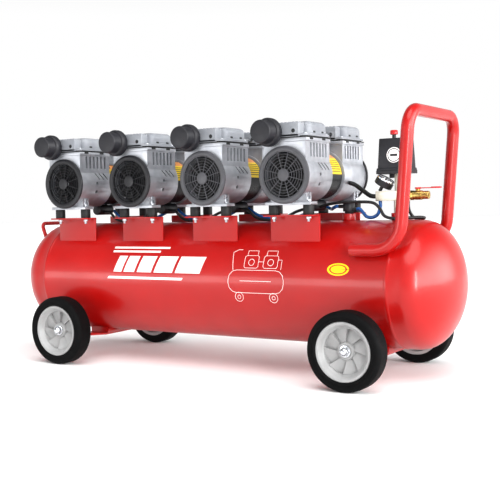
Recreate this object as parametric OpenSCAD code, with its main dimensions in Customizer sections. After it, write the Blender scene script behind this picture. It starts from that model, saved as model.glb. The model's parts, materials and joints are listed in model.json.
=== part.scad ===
// Wheeled oil-free air compressor: a horizontal tank with four twin-cylinder pumps on top.
// X runs along the tank towards the push handle, -Y is the front side, Z is up.
// The origin is on the floor, under the middle of the tank. Millimetres.

/* [Tank] */
// Outer radius of the tank
tank_r = 168; // [164:1:170]
// Height of the tank's axis above the floor
tank_z = 246; // [246:1:250]
// Distance from the middle to each weld seam
seam_x = 575; // [570:1:590]
// Straight flange of each dished end
flange_l = 32; // [28:1:36]
// Depth of each dished end
dome_h = 105; // [100:1:110]
// Wall thickness of the tank
tank_t = 3; // [2:0.5:4]

/* [Wheels] */
// Radius of the tyres
wheel_r = 100; // [98:1:102]
// Width of the tyres
tyre_w = 56; // [52:1:58]
// Radius of the plastic rims
rim_r = 75; // [72:1:78]
// Distance from the middle to the tyres' outer faces
track_y = 260; // [258:1:264]
// Place of the left wheel pair along the tank
left_wheel_x = -451; // [-470:1:-440]
// Place of the right wheel pair along the tank
right_wheel_x = 499; // [490:1:505]

/* [Pumps] */
// Distance between neighbouring pumps
pump_pitch = 257.6; // [250:0.1:265]
// Place of the leftmost pump
pump_x0 = -474; // [-480:1:-470]
// Height of the motor shafts
shaft_z = 537; // [536:1:540]
// Outer radius of the cast housings
housing_r = 71; // [70:0.5:72]
// Outer radius of the fan covers
cover_r = 75; // [74:1:77]
// Outer radius of the motor stators
stator_r = 64; // [62:1:66]
// Radius of the cylinder bores
bore_r = 30; // [28:0.5:31]
// Half of the piston stroke
crank_e = 10; // [8:0.5:10]

/* [Push handle] */
// Radius of the handle tube
tube_r = 16; // [15:0.5:17]
// Distance from the middle to each handle leg
handle_y = 158; // [156:1:160]
// Height of the grip bar
grip_z = 685; // [670:1:700]
// Outward lean of the legs
lean = 4.8; // [3:0.1:6]

/* [Hidden] */
$fn = 48;
eps = 0.01;
run_gap = 0.05;

pump_x = [for (i = [0:3]) pump_x0 + i * pump_pitch];
wheel_x = [left_wheel_x, right_wheel_x];

// ---- colours ----
paint = [0.80, 0.07, 0.05];
cast_alu = [0.72, 0.73, 0.75];
head_alu = [0.78, 0.79, 0.79];
dark_plastic = [0.20, 0.20, 0.22];
rubber = [0.07, 0.07, 0.07];
rim_plastic = [0.86, 0.86, 0.85];
zinc = [0.75, 0.76, 0.78];
brass = [0.78, 0.64, 0.33];

// ---- helpers ----
module along_x(x0, x1, r) translate([x0, 0, 0]) rotate([0, 90, 0]) cylinder(h = x1 - x0, r = r);
module along_y(y0, y1, r) translate([0, y0, 0]) rotate([-90, 0, 0]) cylinder(h = y1 - y0, r = r);
module block(x, y, z) translate([x[0], y[0], z[0]]) cube([x[1] - x[0], y[1] - y[0], z[1] - z[0]]);

// A solid of the tank's outside, used to trim what is welded to it
module tank_solid(r = tank_r) translate([0, 0, tank_z]) along_x(-seam_x - flange_l, seam_x + flange_l, r);

function unit(v) = v / norm(v);
// One point of a smooth curve through four route points
function curve_point(a, b, c, d, t) =
    0.5 * (2 * b + (c - a) * t + (2 * a - 5 * b + 4 * c - d) * t * t
        + (3 * b - a - 3 * c + d) * t * t * t);
function route_at(p, i) = p[max(0, min(len(p) - 1, i))];
function smooth_route(p, steps) = [for (i = [0:len(p) - 2]) for (k = [0:steps - 1])
        curve_point(route_at(p, i - 1), p[i], p[i + 1], route_at(p, i + 2), k / steps),
    p[len(p) - 1]];
function ring_of(p, i, r, sides, side_dir) =
    let (t = unit(route_at(p, i + 1) - route_at(p, i - 1)),
        u = unit(cross(t, side_dir)),
        v = cross(t, u))
    [for (k = [0:sides - 1]) p[i] + r * (cos(360 * k / sides) * u + sin(360 * k / sides) * v)];

// A hose or wire of diameter d, swept along a hand-laid route
module hose(route, d, side_dir = [0, 0, 1], steps = 3, sides = 8) {
    p = smooth_route(route, steps);
    n = len(p);
    points = [for (i = [0:n - 1]) each ring_of(p, i, d / 2, sides, side_dir)];
    walls = [for (i = [0:n - 2]) for (k = [0:sides - 1])
        let (a = i * sides + k, b = i * sides + (k + 1) % sides)
        each [[a, a + sides, b + sides], [a, b + sides, b]]];
    caps = [[for (k = [0:sides - 1]) k], [for (k = [sides - 1:-1:0]) (n - 1) * sides + k]];
    polyhedron(points, concat(caps, walls), convexity = 6);
}

// ---- tank ----
bead_w = 6;
bead_h = 1.5;
dome_steps = 14;

// Cylindrical shell with half a weld bead at each end
module tank_shell() color(paint) translate([-seam_x, 0, tank_z]) rotate([0, 90, 0])
    rotate_extrude($fn = 96) polygon([
        [tank_r - tank_t, 0], [tank_r + bead_h, 0], [tank_r, bead_w],
        [tank_r, 2 * seam_x - bead_w], [tank_r + bead_h, 2 * seam_x], [tank_r - tank_t, 2 * seam_x]]);

function dome_arc(r, h, down) = [for (i = [0:dome_steps])
    let (a = 90 * (down ? dome_steps - i : i) / dome_steps)
    [i == (down ? 0 : dome_steps) ? 0 : r * cos(a), flange_l + h * sin(a)]];

// Dished end with its straight flange, standing along +Z from the seam
module dished_end() rotate_extrude($fn = 96) polygon(concat(
    [[tank_r - tank_t, 0], [tank_r + bead_h, 0], [tank_r, bead_w]],
    dome_arc(tank_r, dome_h, false),
    dome_arc(tank_r - tank_t, dome_h - tank_t, true)));

// The dished end without its hollow, used to trim the grab handle
module dome_solid() rotate_extrude($fn = 96) polygon(concat([[0, 0], [tank_r, 0]],
    dome_arc(tank_r, dome_h, false)));

module tank_end_right() color(paint) translate([seam_x, 0, tank_z]) rotate([0, 90, 0]) dished_end();
module tank_end_left() color(paint) translate([-seam_x, 0, tank_z]) rotate([0, -90, 0]) dished_end();

// Welded bosses: outlet and check valve on top, drain underneath
outlet_x = 540;
check_x = 398;
drain_x = 420;
boss_top = tank_z + tank_r + 18;
drain_boss_z = tank_z - tank_r - 10;
pipe_r = 10.5;
module tank_ports() color(paint) difference() {
    union() {
        for (x = [outlet_x, check_x]) translate([x, 0, tank_z]) cylinder(h = tank_r + 18, r = 17.5);
        translate([drain_x, 0, drain_boss_z]) cylinder(h = tank_r + 10, r = 14);
    }
    tank_solid();
    for (x = [outlet_x, check_x]) translate([x, 0, tank_z + 100]) cylinder(h = 200, r = pipe_r);
    translate([drain_x, 0, drain_boss_z - 1]) cylinder(h = 60, r = 7);
}

// ---- saddles that carry the pumps ----
saddle_w = 150;
saddle_y = 118;
saddle_top = 433;
flange_y = 160;
plate_t = 4;
foot_x = 52;
foot_y = 140;
bolt_r = 4;
foot_h = 26;
foot_top = saddle_top + foot_h;

module at_feet() for (x = pump_x, sx = [-1, 1], sy = [-1, 1])
    translate([x + sx * foot_x, sy * foot_y, 0]) children();

module motor_saddles() color(paint) difference() {
    for (x = pump_x, s = [0, 1]) translate([x, 0, 0]) mirror([0, s, 0]) {
        block([-saddle_w / 2, saddle_w / 2], [saddle_y, saddle_y + plate_t], [tank_z + 60, saddle_top]);
        block([-saddle_w / 2, saddle_w / 2], [saddle_y, flange_y], [saddle_top - plate_t, saddle_top]);
    }
    tank_solid();
    at_feet() translate([0, 0, saddle_top - 20]) cylinder(h = 40, r = bolt_r + 0.2, $fn = 24);
}

module rubber_feet() color(rubber) at_feet() difference() {
    translate([0, 0, saddle_top]) cylinder(h = foot_h, r = 14.5);
    translate([0, 0, saddle_top - 1]) cylinder(h = foot_h + 2, r = bolt_r + 0.2, $fn = 24);
}

foot_plate_t = 8;
module foot_bolts() color(zinc) at_feet() {
    top = foot_top + foot_plate_t;
    end = saddle_top - plate_t - 14;
    translate([0, 0, end]) cylinder(h = top - end, r = bolt_r, $fn = 24);
    translate([0, 0, top]) cylinder(h = 5, r = 7, $fn = 6);
    translate([0, 0, saddle_top - plate_t - 7]) cylinder(h = 7, r = 7, $fn = 6);
}

// ---- push handle ----
base_z = 343;
bend_r = 75;
corner_r = 48;
base_x0 = 479;
bend_x = 541;
leg_z = base_z + bend_r * (1 - sin(lean));
leg_l = (grip_z - leg_z) / cos(lean);

wall = 2;
pad_turn = atan2(base_z - tank_z, handle_y);
pad_h = norm([handle_y, base_z - tank_z]) - tube_r + 1.6 - tank_r;
module tube(h) difference() {
    cylinder(h = h, r = tube_r);
    translate([0, 0, -1]) cylinder(h = h + 2, r = tube_r - wall);
}
module bend(r, turn) rotate_extrude(angle = turn) translate([r, 0]) difference() {
    circle(tube_r);
    circle(tube_r - wall);
}

// Half of the handle from the bend's centre: base, bend, leg, corner and half of the grip bar
module handle_half() translate([bend_x, handle_y, base_z + bend_r]) {
    translate([base_x0 - bend_x, 0, -bend_r]) rotate([0, 90, 0]) tube(bend_x - base_x0);
    rotate([90, 0, 0]) rotate([0, 0, -90]) bend(bend_r, 90 - lean);
    rotate([0, lean, 0]) translate([bend_r, 0, 0]) {
        tube(leg_l - corner_r);
        translate([0, -corner_r, leg_l - corner_r]) rotate([90, 0, 90]) bend(corner_r, 90);
        translate([0, -corner_r, leg_l]) rotate([90, 0, 0]) tube(handle_y - corner_r);
    }
}

// Tube handle, welded to the tank's shoulders by short pads
module main_handle() color(paint) for (s = [0, 1]) mirror([0, s, 0]) {
    handle_half();
    for (x = [495, 530]) translate([x, 0, tank_z]) rotate([pad_turn, 0, 0])
        translate([-6, tank_r, -5]) cube([12, pad_h, 10]);
}

// ---- grab handle on the left end ----
grab_r = 6;
grab_y = 62;
grab_lean = 21;
grab_top_x = -686;
grab_top_z = 415;
grab_corner = 16;
module grab_handle() color(paint) difference() {
    translate([grab_top_x, 0, grab_top_z]) rotate([0, -grab_lean, 0]) {
        rotate([90, 0, 0]) translate([0, 0, -grab_y + grab_corner])
            cylinder(h = 2 * (grab_y - grab_corner), r = grab_r);
        for (s = [0, 1]) mirror([0, s, 0]) {
            translate([0, grab_y - grab_corner, -grab_corner]) rotate([90, 0, 90])
                rotate_extrude(angle = 90) translate([grab_corner, 0]) circle(grab_r);
            translate([0, grab_y, -80]) cylinder(h = 80 - grab_corner, r = grab_r);
        }
    }
    translate([-seam_x, 0, tank_z]) rotate([0, -90, 0]) dome_solid();
}

// ---- running gear ----
strap_w = 70;
strap_t = 6;
strap_low = 66;
post_y = 190;
axle_r = 10;
hub_in = 203;
hub_out = 240;

// Bent strap under the tank, with a post at each end that holds an axle
module wheel_straps() color(paint) for (x = wheel_x) translate([x, 0, 0]) difference() {
    union() {
        rotate([90, 0, 90]) translate([0, 0, -strap_w / 2]) linear_extrude(strap_w) polygon([
            [-post_y, 122], [-post_y - strap_t, 122], [-post_y - strap_t, 78], [-70, strap_low],
            [70, strap_low], [post_y + strap_t, 78], [post_y + strap_t, 122], [post_y, 122],
            [post_y, 84], [68, strap_low + strap_t], [-68, strap_low + strap_t], [-post_y, 84]]);
        block([-strap_w / 2, strap_w / 2], [-60, 60], [strap_low + 1, 100]);
    }
    translate([-x, 0, 0]) tank_solid();
    for (s = [-1, 1]) translate([0, 0, wheel_r]) along_y(s * 193 - 10, s * 193 + 10, axle_r);
}

module at_wheels() for (x = wheel_x, s = [0, 1]) translate([x, 0, wheel_r]) mirror([0, s, 0]) children();

module stub_axles() color(zinc) at_wheels() {
    along_y(post_y - 8, hub_out + 9, axle_r);
    along_y(post_y - 8, post_y, axle_r + 5);
    along_y(post_y + strap_t, hub_in - 0.5, axle_r + 4);
}

module axle_nuts() color([0.85, 0.86, 0.88]) at_wheels() difference() {
    union() {
        along_y(hub_out + 0.5, hub_out + 2.5, 15);
        translate([0, hub_out + 2.5, 0]) rotate([-90, 0, 0]) cylinder(h = 8, r = 12.5, $fn = 6);
        translate([0, hub_out + 7, 0]) intersection() {
            sphere(10.6);
            along_y(2, 12, 12);
        }
    }
    along_y(hub_out - 2, hub_out + 9, axle_r);
}

// Moulded rim: hub, dished web and drum, one revolved profile; s is +1 for the rear side
module rim_at(x, s) color(rim_plastic) translate([x, 0, wheel_r]) rotate([s > 0 ? -90 : 90, 0, 0])
    rotate_extrude($fn = 64) polygon([
        [axle_r + run_gap, hub_in], [24, hub_in], [24, 222], [66, 226], [66, track_y - tyre_w],
        [rim_r, track_y - tyre_w], [rim_r, track_y - 6], [rim_r - 3, track_y - 3],
        [68, track_y - 3], [61, 244], [24, hub_out - 4], [20, hub_out], [axle_r + run_gap, hub_out]]);

module rim_front_left() rim_at(left_wheel_x, -1);
module rim_front_right() rim_at(right_wheel_x, -1);
module rim_rear_left() rim_at(left_wheel_x, 1);
module rim_rear_right() rim_at(right_wheel_x, 1);

// Solid tyre with rounded shoulders
shoulder = 12;
function shoulder_arc(y, from) = [for (i = [0:4])
    let (a = from + 22.5 * i)
    [wheel_r - shoulder + shoulder * cos(a), y + shoulder * sin(a)]];
module tyre_at(x, s) color(rubber) translate([x, 0, wheel_r]) rotate([s > 0 ? -90 : 90, 0, 0])
    rotate_extrude($fn = 96) polygon(concat(
        [[rim_r, track_y - tyre_w]],
        shoulder_arc(track_y - tyre_w + shoulder, -90),
        shoulder_arc(track_y - shoulder, 0),
        [[rim_r, track_y - 2]]));

module tyre_front_left() tyre_at(left_wheel_x, -1);
module tyre_front_right() tyre_at(right_wheel_x, -1);
module tyre_rear_left() tyre_at(left_wheel_x, 1);
module tyre_rear_right() tyre_at(right_wheel_x, 1);

// ---- drain cock under the tank ----
module drain_valve() color(brass) translate([drain_x, 0, 0]) difference() {
    union() {
        translate([0, 0, 48]) cylinder(h = 30, r = 7);
        translate([0, 0, 50]) cylinder(h = 16, r = 11, $fn = 6);
        translate([0, 0, 57]) along_y(-22, 0, 4);
        translate([0, 0, 40]) cylinder(h = 10, r = 5);
    }
    translate([0, 0, 39]) cylinder(h = 50, r = 2.5);
}

module drain_knob() color(brass) translate([drain_x, 0, 57]) {
    along_y(-31, -22.1, 8);
    block([-15, 15], [-31, -27], [-4, 4]);
}

// ---- pumps: two-ended motors with a cylinder at each end ----
case_in = 36;
case_wall = 6;
case_out = 172;
cavity_r = housing_r - 5;
barrel_y = 104;
deck_z = 632;
block_x = 63;
block_y0 = 38;
block_y1 = 170;
bearing_r = 16;
shaft_r = 9;

module at_pumps() for (x = pump_x) translate([x, 0, 0]) children();
// Draws the +Y end and the same thing turned round for the -Y end
module both_ends() for (a = [0, 180]) rotate([0, 0, a]) children();

// Places of the head bolts about each cylinder
bolt_xs = [-57, 57];
bolt_ys = [-58, 58];
head_bolt_r = 3;

// One end casting: crankcase, cylinder block with fins, and foot plate
module casting() difference() {
    union() {
        translate([0, 0, shaft_z]) along_y(case_in, case_out, housing_r);
        block([-block_x, block_x], [block_y0, block_y1], [shaft_z + 30, deck_z]);
        block([-block_x - 3, block_x + 3], [block_y0 - 1, block_y1 + 1], [deck_z - 9, deck_z]);
        block([-68, 68], [foot_y - 20, foot_y + 20], [foot_top, foot_top + foot_plate_t]);
        block([-54, 54], [foot_y - 14, foot_y + 14], [foot_top, shaft_z - 30]);
    }
    translate([0, 0, shaft_z]) along_y(case_in + case_wall, case_out + 1, cavity_r);
    translate([0, 0, shaft_z]) along_y(case_in - 1, case_out, bearing_r);
    translate([0, barrel_y, shaft_z + 20]) cylinder(h = 100, r = bore_r);
    for (s = [-1, 1], k = [0:5])
        translate([s * (block_x + 1) - 5, 54 + k * 16.5, 583]) cube([10, 8, 36]);
    for (k = [0:2]) translate([-80, 52 + k * 18, shaft_z + 13]) rotate([-40, 0, 0]) cube([30, 4, 25]);
    for (z = [1, -25]) translate([-90, barrel_y, shaft_z + z]) rotate([0, 90, 0]) cylinder(h = 60, r = 4.5);
    for (x = bolt_xs, y = bolt_ys)
        translate([x, barrel_y + y, deck_z - 14]) cylinder(h = 20, r = head_bolt_r, $fn = 24);
    for (s = [-1, 1]) translate([s * foot_x, foot_y, 0]) {
        translate([0, 0, saddle_top]) cylinder(h = 60, r = bolt_r + 0.2, $fn = 24);
        translate([0, 0, saddle_top + foot_h + foot_plate_t]) cylinder(h = 14, r = 8.5);
    }
}
module castings(i) color(cast_alu) translate([pump_x[i], 0, 0]) both_ends() casting();
module castings_1() castings(0);
module castings_2() castings(1);
module castings_3() castings(2);
module castings_4() castings(3);

module stators() color(rubber) at_pumps() translate([0, 0, shaft_z]) difference() {
    along_y(-case_in, case_in, stator_r);
    along_y(-case_in - 1, case_in + 1, 35);
}

module shaft_bearings() color(zinc) at_pumps() both_ends() translate([0, 0, shaft_z]) difference() {
    along_y(case_in, case_in + case_wall, bearing_r);
    along_y(case_in - 1, case_in + case_wall + 1, shaft_r + run_gap);
}

// Shaft with the squirrel-cage core, two eccentrics half a turn apart, and two fans
fan_y = 150;
module rotor(i) color(zinc) translate([pump_x[i], 0, shaft_z]) {
    along_y(-fan_y - 16, fan_y + 16, shaft_r);
    along_y(-30, 30, 34);
    both_ends() {
        translate([crank_e, 0, 0]) along_y(barrel_y - 6, barrel_y + 6, 14);
        along_y(fan_y, fan_y + 14, 17);
        for (k = [0:6]) rotate([0, k * 360 / 7, 0]) translate([0, fan_y + 7, 0])
            rotate([0, 0, 28]) translate([-8, -1, 14]) cube([16, 2, 44]);
    }
}
module rotor_1() rotor(0);
module rotor_2() rotor(1);
module rotor_3() rotor(2);
module rotor_4() rotor(3);

// Wobble piston fixed to its rod; the rod's eye clears the eccentric all round
module piston(i, y) color(head_alu) translate([pump_x[i], y, shaft_z]) {
    difference() {
        union() {
            along_y(-5, 5, 42);
            block([-8, 8], [-5, 5], [38, 80]);
        }
        along_y(-6, 6, 36);
    }
    translate([0, 0, 76]) cylinder(h = 8, r = bore_r - run_gap);
}
module piston_front_1() piston(0, -barrel_y);
module piston_front_2() piston(1, -barrel_y);
module piston_front_3() piston(2, -barrel_y);
module piston_front_4() piston(3, -barrel_y);
module piston_rear_1() piston(0, barrel_y);
module piston_rear_2() piston(1, barrel_y);
module piston_rear_3() piston(2, barrel_y);
module piston_rear_4() piston(3, barrel_y);

module capacitors() color(dark_plastic) at_pumps() translate([0, 0, shaft_z - stator_r - 17]) {
    along_y(-32, 32, 16);
    block([-6, 6], [-14, 14], [12, 17]);
}

// Fan cover: rim, hub, spokes and two of its rings
cover_t = 8;
spokes = 12;
module fan_covers() color(dark_plastic) at_pumps() both_ends()
    translate([0, case_out, shaft_z]) {
        difference() {
            along_y(0, cover_t, cover_r);
            along_y(-1, cover_t + 1, 60);
        }
        along_y(3, cover_t, 17);
        for (r = [32, 47]) difference() {
            along_y(3, cover_t - 1, r + 1);
            along_y(2, cover_t, r - 1);
        }
        for (k = [0:spokes - 1]) rotate([0, (k + 0.5) * 360 / spokes, 0])
            block([-1, 1], [3, cover_t - 1], [15, 61]);
    }

gasket_t = 2;
module at_heads() at_pumps() for (y = [-barrel_y, barrel_y]) translate([0, y, 0]) children();
module head_gaskets() color(rubber) at_heads() difference() {
    block([-block_x - 4, block_x + 4], [-67, 67], [deck_z, deck_z + gasket_t]);
    translate([0, 0, deck_z - 1]) cylinder(h = 4, r = bore_r);
    for (x = bolt_xs, y = bolt_ys) translate([x, y, deck_z - 1]) cylinder(h = 4, r = head_bolt_r, $fn = 24);
}

// Head: flange, port box towards the front and a domed valve cover behind it
head_z = deck_z + gasket_t;
port_y = -67;
muffler_x = -37.5;
muffler_z = head_z + 14.5;
crossover_x = 24;
tube_z = head_z + 15;
module head() difference() {
    union() {
        block([-block_x - 4, block_x + 4], [-67, 67], [head_z, head_z + 7]);
        block([-60, 45], [port_y, port_y + 28], [head_z, head_z + 38]);
        intersection() {
            rotate([90, 0, 90]) translate([0, 0, -60]) linear_extrude(120) polygon([
                [-39, head_z], [-39, head_z + 38], [-24, head_z + 42], [40, head_z + 42],
                [56, head_z + 36], [64, head_z + 24], [64, head_z]]);
            rotate([90, 0, 0]) translate([0, 0, -66]) linear_extrude(132) polygon([
                [-60, head_z], [-60, head_z + 24], [-50, head_z + 37], [-28, head_z + 42],
                [28, head_z + 42], [50, head_z + 37], [60, head_z + 24], [60, head_z]]);
        }
    }
    translate([muffler_x, 0, muffler_z]) along_y(port_y - 1, port_y + 12, 7);
    translate([28, 0, head_z + 16]) along_y(port_y - 1, port_y + 20, 5.5);
    for (x = bolt_xs, y = bolt_ys) {
        translate([x, y, head_z + 4]) cylinder(h = 60, r = 5.5);
        translate([x, y, head_z - 1]) cylinder(h = 10, r = head_bolt_r, $fn = 24);
    }
}
module cylinder_heads() color(head_alu) at_heads() head();

module head_bolts() color(zinc) at_heads() for (x = bolt_xs, y = bolt_ys) {
        translate([x, y, deck_z - 13]) cylinder(h = 19, r = head_bolt_r, $fn = 24);
        translate([x, y, head_z + 4]) cylinder(h = 6, r = 4.8, $fn = 24);
    }

// Intake mufflers, one on each front head
module intake_mufflers() color(dark_plastic) at_pumps()
    translate([muffler_x, -barrel_y + port_y, muffler_z]) rotate([90, 0, 0])
        rotate_extrude() polygon([[0, 0], [22, 0], [22, 3], [33, 4], [37.5, 9], [37.5, 22], [35, 27],
            [32, 28], [30.5, 30], [30.5, 55], [28, 58.5], [0, 59]]);

module crossover_tubes() color(head_alu) at_pumps() for (x = [-crossover_x, crossover_x])
    translate([x, 0, tube_z]) along_y(-barrel_y + 64, barrel_y + port_y, 6);

// ---- controls on the outlet boss ----
block_z = 464;
block_h = 26;
block_top = block_z + block_h;
block_x0 = 482;
block_x1 = 576;
valve_z = block_z + block_h / 2;
switch_x = 538;
switch_z = 534;

module manifold() color([0.80, 0.78, 0.72]) difference() {
    union() {
        translate([outlet_x, 0, boss_top - 10]) cylinder(h = block_z - boss_top + 11, r = pipe_r);
        block([block_x0, block_x1], [-13, 13], [block_z, block_top]);
        translate([outlet_x, 0, block_top]) cylinder(h = switch_z - block_top, r = 8);
    }
    translate([outlet_x, 0, boss_top - 11]) cylinder(h = 60, r = 6);
    translate([0, 0, valve_z]) along_x(530, block_x1 + 1, 7.5);
}

// Check valve on its boss: hexagon, cap and two hose barbs
barb_r = 5;
module check_valve() color(dark_plastic) translate([check_x, 0, boss_top]) {
    translate([0, 0, -10]) cylinder(h = 12, r = pipe_r);
    cylinder(h = 6, r = 13, $fn = 6);
    translate([0, 0, 6]) cylinder(h = 22, r = 16);
    translate([0, 0, 20]) along_x(-30, 0, barb_r);
    translate([0, 0, 12]) along_x(0, 24, barb_r);
}

// Pressure switch: base with two cable glands underneath, and a tapered cover
gland_y = 20;
gland_x = 22;
module switch_base() color(dark_plastic) translate([switch_x, 0, switch_z]) {
    block([-45, 45], [-31, 31], [0, 10]);
    for (s = [-1, 1]) translate([s * gland_x, gland_y, -10]) cylinder(h = 10, r = 7);
}

// Two crossed trapezium prisms give the cover its taper
cover_top = 626;
cover_h = cover_top - switch_z - 10;
module cover_form(inset, top) intersection() {
    rotate([90, 0, 0]) translate([0, 0, -60]) linear_extrude(120) polygon([
        [-42 + inset, 0], [42 - inset, 0], [38 - inset, top], [-38 + inset, top]]);
    rotate([90, 0, 90]) translate([0, 0, -60]) linear_extrude(120) polygon([
        [-28 + inset, 0], [28 - inset, 0], [25 - inset, top], [-25 + inset, top]]);
}
knob_x = switch_x - 6;
stem_r = 5;
module switch_cover() color(dark_plastic) difference() {
    translate([switch_x, 0, switch_z + 10]) difference() {
        cover_form(0, cover_h);
        translate([0, 0, -eps]) cover_form(2.5, cover_h - 2.5);
    }
    translate([knob_x, 0, cover_top - 10]) cylinder(h = 20, r = stem_r + 0.2);
}

// Pull-to-start knob, drawn pulled up
knob_travel = 8;
module on_off_knob() color(paint) translate([knob_x, 0, cover_top]) {
    translate([0, 0, -24]) cylinder(h = 24 + knob_travel + 3, r = stem_r);
    translate([0, 0, knob_travel + 2]) cylinder(h = 12, r = 10);
}

// Pressure gauge leaning towards the push handle
gauge_tilt = 32;
gauge_r = 25;
module at_gauge() translate([504, 0, 514.5]) rotate([0, gauge_tilt, 0]) children();
module gauge_case() color(dark_plastic) difference() {
    at_gauge() {
        translate([0, 0, -12]) cylinder(h = 22, r = gauge_r);
        translate([0, 0, -40]) cylinder(h = 29, r = 4.5);
    }
    at_gauge() translate([0, 0, 4]) cylinder(h = 20, r = gauge_r - 3);
    block([block_x0 - 20, block_x1], [-20, 20], [block_z - 10, block_top]);
}
module gauge_needle() color(paint) at_gauge() translate([0, 0, 5]) {
    translate([0, 0, -1]) cylinder(h = 3, r = 2.5, $fn = 24);
    rotate([0, 0, -135]) translate([-0.8, -2, 0]) cube([1.6, 17, 1.2]);
}

// Safety valve on the front of the manifold, with its pull ring
safety_x = 562;
safety_y = -22;
module at_safety() translate([safety_x, safety_y, valve_z]) children();
module safety_valve() color(brass) at_safety() difference() {
    union() {
        along_y(0, -13 - safety_y, 5);
        translate([0, 0, -8]) cylinder(h = 30, r = 7);
        translate([0, 0, 8]) cylinder(h = 8, r = 8.5, $fn = 6);
    }
    translate([0, 0, 10]) cylinder(h = 20, r = 2 + run_gap);
}
module safety_ring() color(zinc) at_safety() {
    translate([0, 0, 12]) cylinder(h = 14, r = 2);
    translate([0, 0, 35]) rotate([90, 0, 0]) rotate_extrude() translate([9, 0]) circle(1.2);
}

// Outlet ball valve, with its lever along the pipe when open
valve_x = 596;
outlet_r = 10.4;
outlet_end = 626;
module ball_valve() color(brass) translate([0, 0, valve_z]) difference() {
    union() {
        along_x(block_x1 - 10, block_x1, 7.4);
        translate([block_x1, 0, 0]) rotate([0, 90, 0]) cylinder(h = 8, r = 12.5, $fn = 6);
        along_x(block_x1 + 8, 608, 12);
        translate([valve_x, 0, 0]) cylinder(h = 16, r = 6);
        along_x(608, outlet_end, outlet_r);
    }
    along_x(block_x1 - 20, outlet_end + 10, 4.5);
    translate([valve_x, 0, 0]) cylinder(h = 17, r = 3 + run_gap);
}
module valve_lever() color(paint) translate([valve_x, 0, valve_z]) {
    cylinder(h = 20, r = 3);
    translate([0, 0, 16.2]) cylinder(h = 4, r = 8);
    block([0, 40], [-6, 6], [17, 19.5]);
    block([38, 62], [-7, 7], [17, 21]);
}

// ---- hoses and wires, held at both ends ----
hose_d = 9;
wire_d = 8;
discharge_d = 12;
end_gap = 0.9; // each line stops this far short of its fitting's face
// Blue air line from one pump to the next, measured from the first of the two
line_route = [[10, 40, 452], [40, 24, 438], [72, 8, 428], [110, 4, 421], [150, 8, 420], [190, 22, 426],
    [222, 36, 442], [244, 42, 454]];
last_line = [[pump_x[3] + 10, 40, 452], [330, 30, 445], [346, 10, 448], [360, 0, 452],
    [check_x - 30 - end_gap, 0, boss_top + 20]];
u_line = [[check_x + 24 + end_gap, 0, boss_top + 12], [430, 0, 444], [440, 0, 434], [450, 1, 423],
    [466, 2, 421], [482, 2, 430], [490, 0, 450], [490, 0, block_z - end_gap]];
// Lead from one capacitor to the next
lead_route = [[17, -10, 450], [50, -24, 446], [84, -32, 424], [129, -36, 418], [174, -32, 424],
    [208, -24, 440], [240, -10, 450]];
// Lead from the switch: down, round in a loop on the tank, then along to the last pump
loop_route = [[switch_x + gland_x, gland_y, switch_z - 10], [560, 24, 482], [557, 32, 442],
    [566, 44, 419], [588, 40, 416], [604, 22, 418], [597, 2, 420], [570, -24, 419], [540, -30, 418],
    [514, -28, 425], [498, -24, 446], [478, -22, 460], [440, -24, 463], [400, -28, 463],
    [368, -24, 461], [340, -18, 457], [317, -12, 452]];
discharge_route = [[369, 70, 516], [394, 52, 509], [430, 26, 492], [456, 7, 480], [470, 0, 477],
    [block_x0 - end_gap, 0, valve_z]];

module air_hoses() color([0.10, 0.30, 0.62]) {
    for (i = [0:2]) translate([pump_x[i], 0, 0]) hose(line_route, hose_d);
    hose(last_line, hose_d);
    hose(u_line, hose_d, [0, 1, 0]);
}

module wiring() color(rubber) {
    for (i = [0:2]) translate([pump_x[i], 0, 0]) hose(lead_route, wire_d);
    hose(loop_route, wire_d, [0.4, 0.8, 0.2]);
    hose(discharge_route, discharge_d);
}

tank_shell();
tank_end_left();
tank_end_right();
tank_ports();
motor_saddles();
main_handle();
grab_handle();
wheel_straps();
stub_axles();
axle_nuts();
drain_valve();
drain_knob();
rubber_feet();
foot_bolts();
rim_front_left();
rim_front_right();
rim_rear_left();
rim_rear_right();
tyre_front_left();
tyre_front_right();
tyre_rear_left();
tyre_rear_right();
castings_1();
castings_2();
castings_3();
castings_4();
rotor_1();
rotor_2();
rotor_3();
rotor_4();
piston_front_1();
piston_front_2();
piston_front_3();
piston_front_4();
piston_rear_1();
piston_rear_2();
piston_rear_3();
piston_rear_4();
stators();
shaft_bearings();
capacitors();
fan_covers();
head_gaskets();
cylinder_heads();
head_bolts();
intake_mufflers();
crossover_tubes();
manifold();
check_valve();
switch_base();
switch_cover();
on_off_knob();
gauge_case();
gauge_needle();
safety_valve();
safety_ring();
ball_valve();
valve_lever();
air_hoses();
wiring();
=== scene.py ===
"""The looks of a wheeled four-pump air compressor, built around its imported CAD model."""
import json
import math

import bpy
from mathutils import Matrix, Vector

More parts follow.
